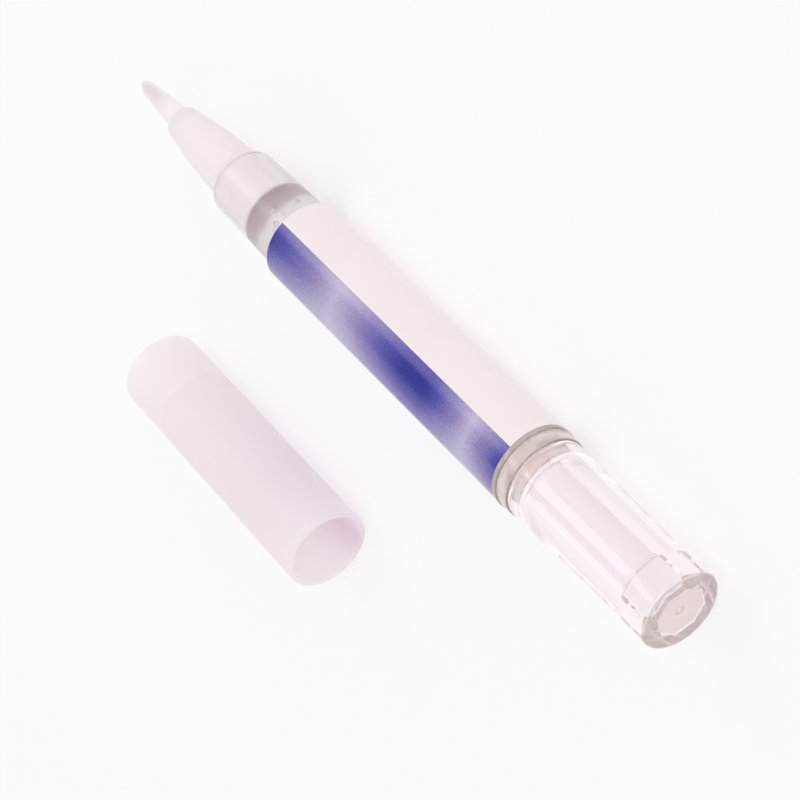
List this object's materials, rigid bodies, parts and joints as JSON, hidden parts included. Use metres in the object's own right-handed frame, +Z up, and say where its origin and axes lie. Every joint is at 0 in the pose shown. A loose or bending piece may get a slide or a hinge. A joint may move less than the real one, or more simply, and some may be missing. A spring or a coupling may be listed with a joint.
{
  "type": "teeth whitening pen",
  "caption": "Slim twist-up gel pen with a brush tip, a printed barrel, a clear turning knob at its tail and a frosted push-on cap lying beside it.",
  "frame": {"origin": "on the surface that the pen and the cap lie on, under the middle of the box that holds both", "axes": "+X along the pen from its knob to its brush, +Y across from the pen to the cap, +Z up"},
  "size_m": [0.1016, 0.04, 0.0101],
  "materials": {
    "knob_clear": "clear moulded styrene, polished",
    "knob_core": "cloudy moulded polypropylene",
    "collar_clear": "clear moulded styrene, polished",
    "works_white": "white moulded acetal",
    "piston_white": "soft white polyethylene",
    "barrel_clear": "clear moulded styrene, polished",
    "label_film": "satin printed film, white with a blue to violet sprayed band",
    "nozzle_frosted": "frosted polypropylene",
    "ferrule_white": "white moulded plastic",
    "bristle_nylon": "fine nylon filament",
    "cap_frosted": "frosted polypropylene"
  },
  "bodies": {
    "barrel": {"barrel": "barrel_clear", "label": "label_film", "tail_collar": "collar_clear", "ratchet_ring": "works_white", "drive_nut": "works_white", "nozzle": "nozzle_frosted", "feed_tube": "works_white", "brush_ferrule": "ferrule_white", "bristles": "bristle_nylon"},
    "knob": {"knob_shell": "knob_clear", "knob_core": "knob_core", "pawl_ring": "works_white"},
    "screw": {"screw_rod": "works_white"},
    "piston": {"piston": "piston_white"},
    "cap": {"cap_shell": "cap_frosted"}
  },
  "joints": [
    {"name": "knob_turn", "type": "hinge", "parent": "barrel", "child": "knob", "pos_m": [-0.04, -0.01494, 0.00506], "axis": [1, 0, 0], "range_deg": [0, 3600]},
    {"name": "screw_feed", "type": "slide", "parent": "knob", "child": "screw", "axis": [1, 0, 0], "range_m": [0, 0.02]},
    {"name": "piston_feed", "type": "slide", "parent": "barrel", "child": "piston", "axis": [1, 0, 0], "range_m": [0, 0.02]},
    {"name": "cap_pull", "type": "slide", "parent": "barrel", "child": "cap", "axis": [1, 0, 0], "range_m": [0, 0.035]}
  ],
  "couplings": [
    {"joint": "screw_feed", "follows": "piston_feed", "ratio": 1},
    {"joint": "knob_turn", "follows": "piston_feed", "rad_per_m": 3141.6}
  ]
}
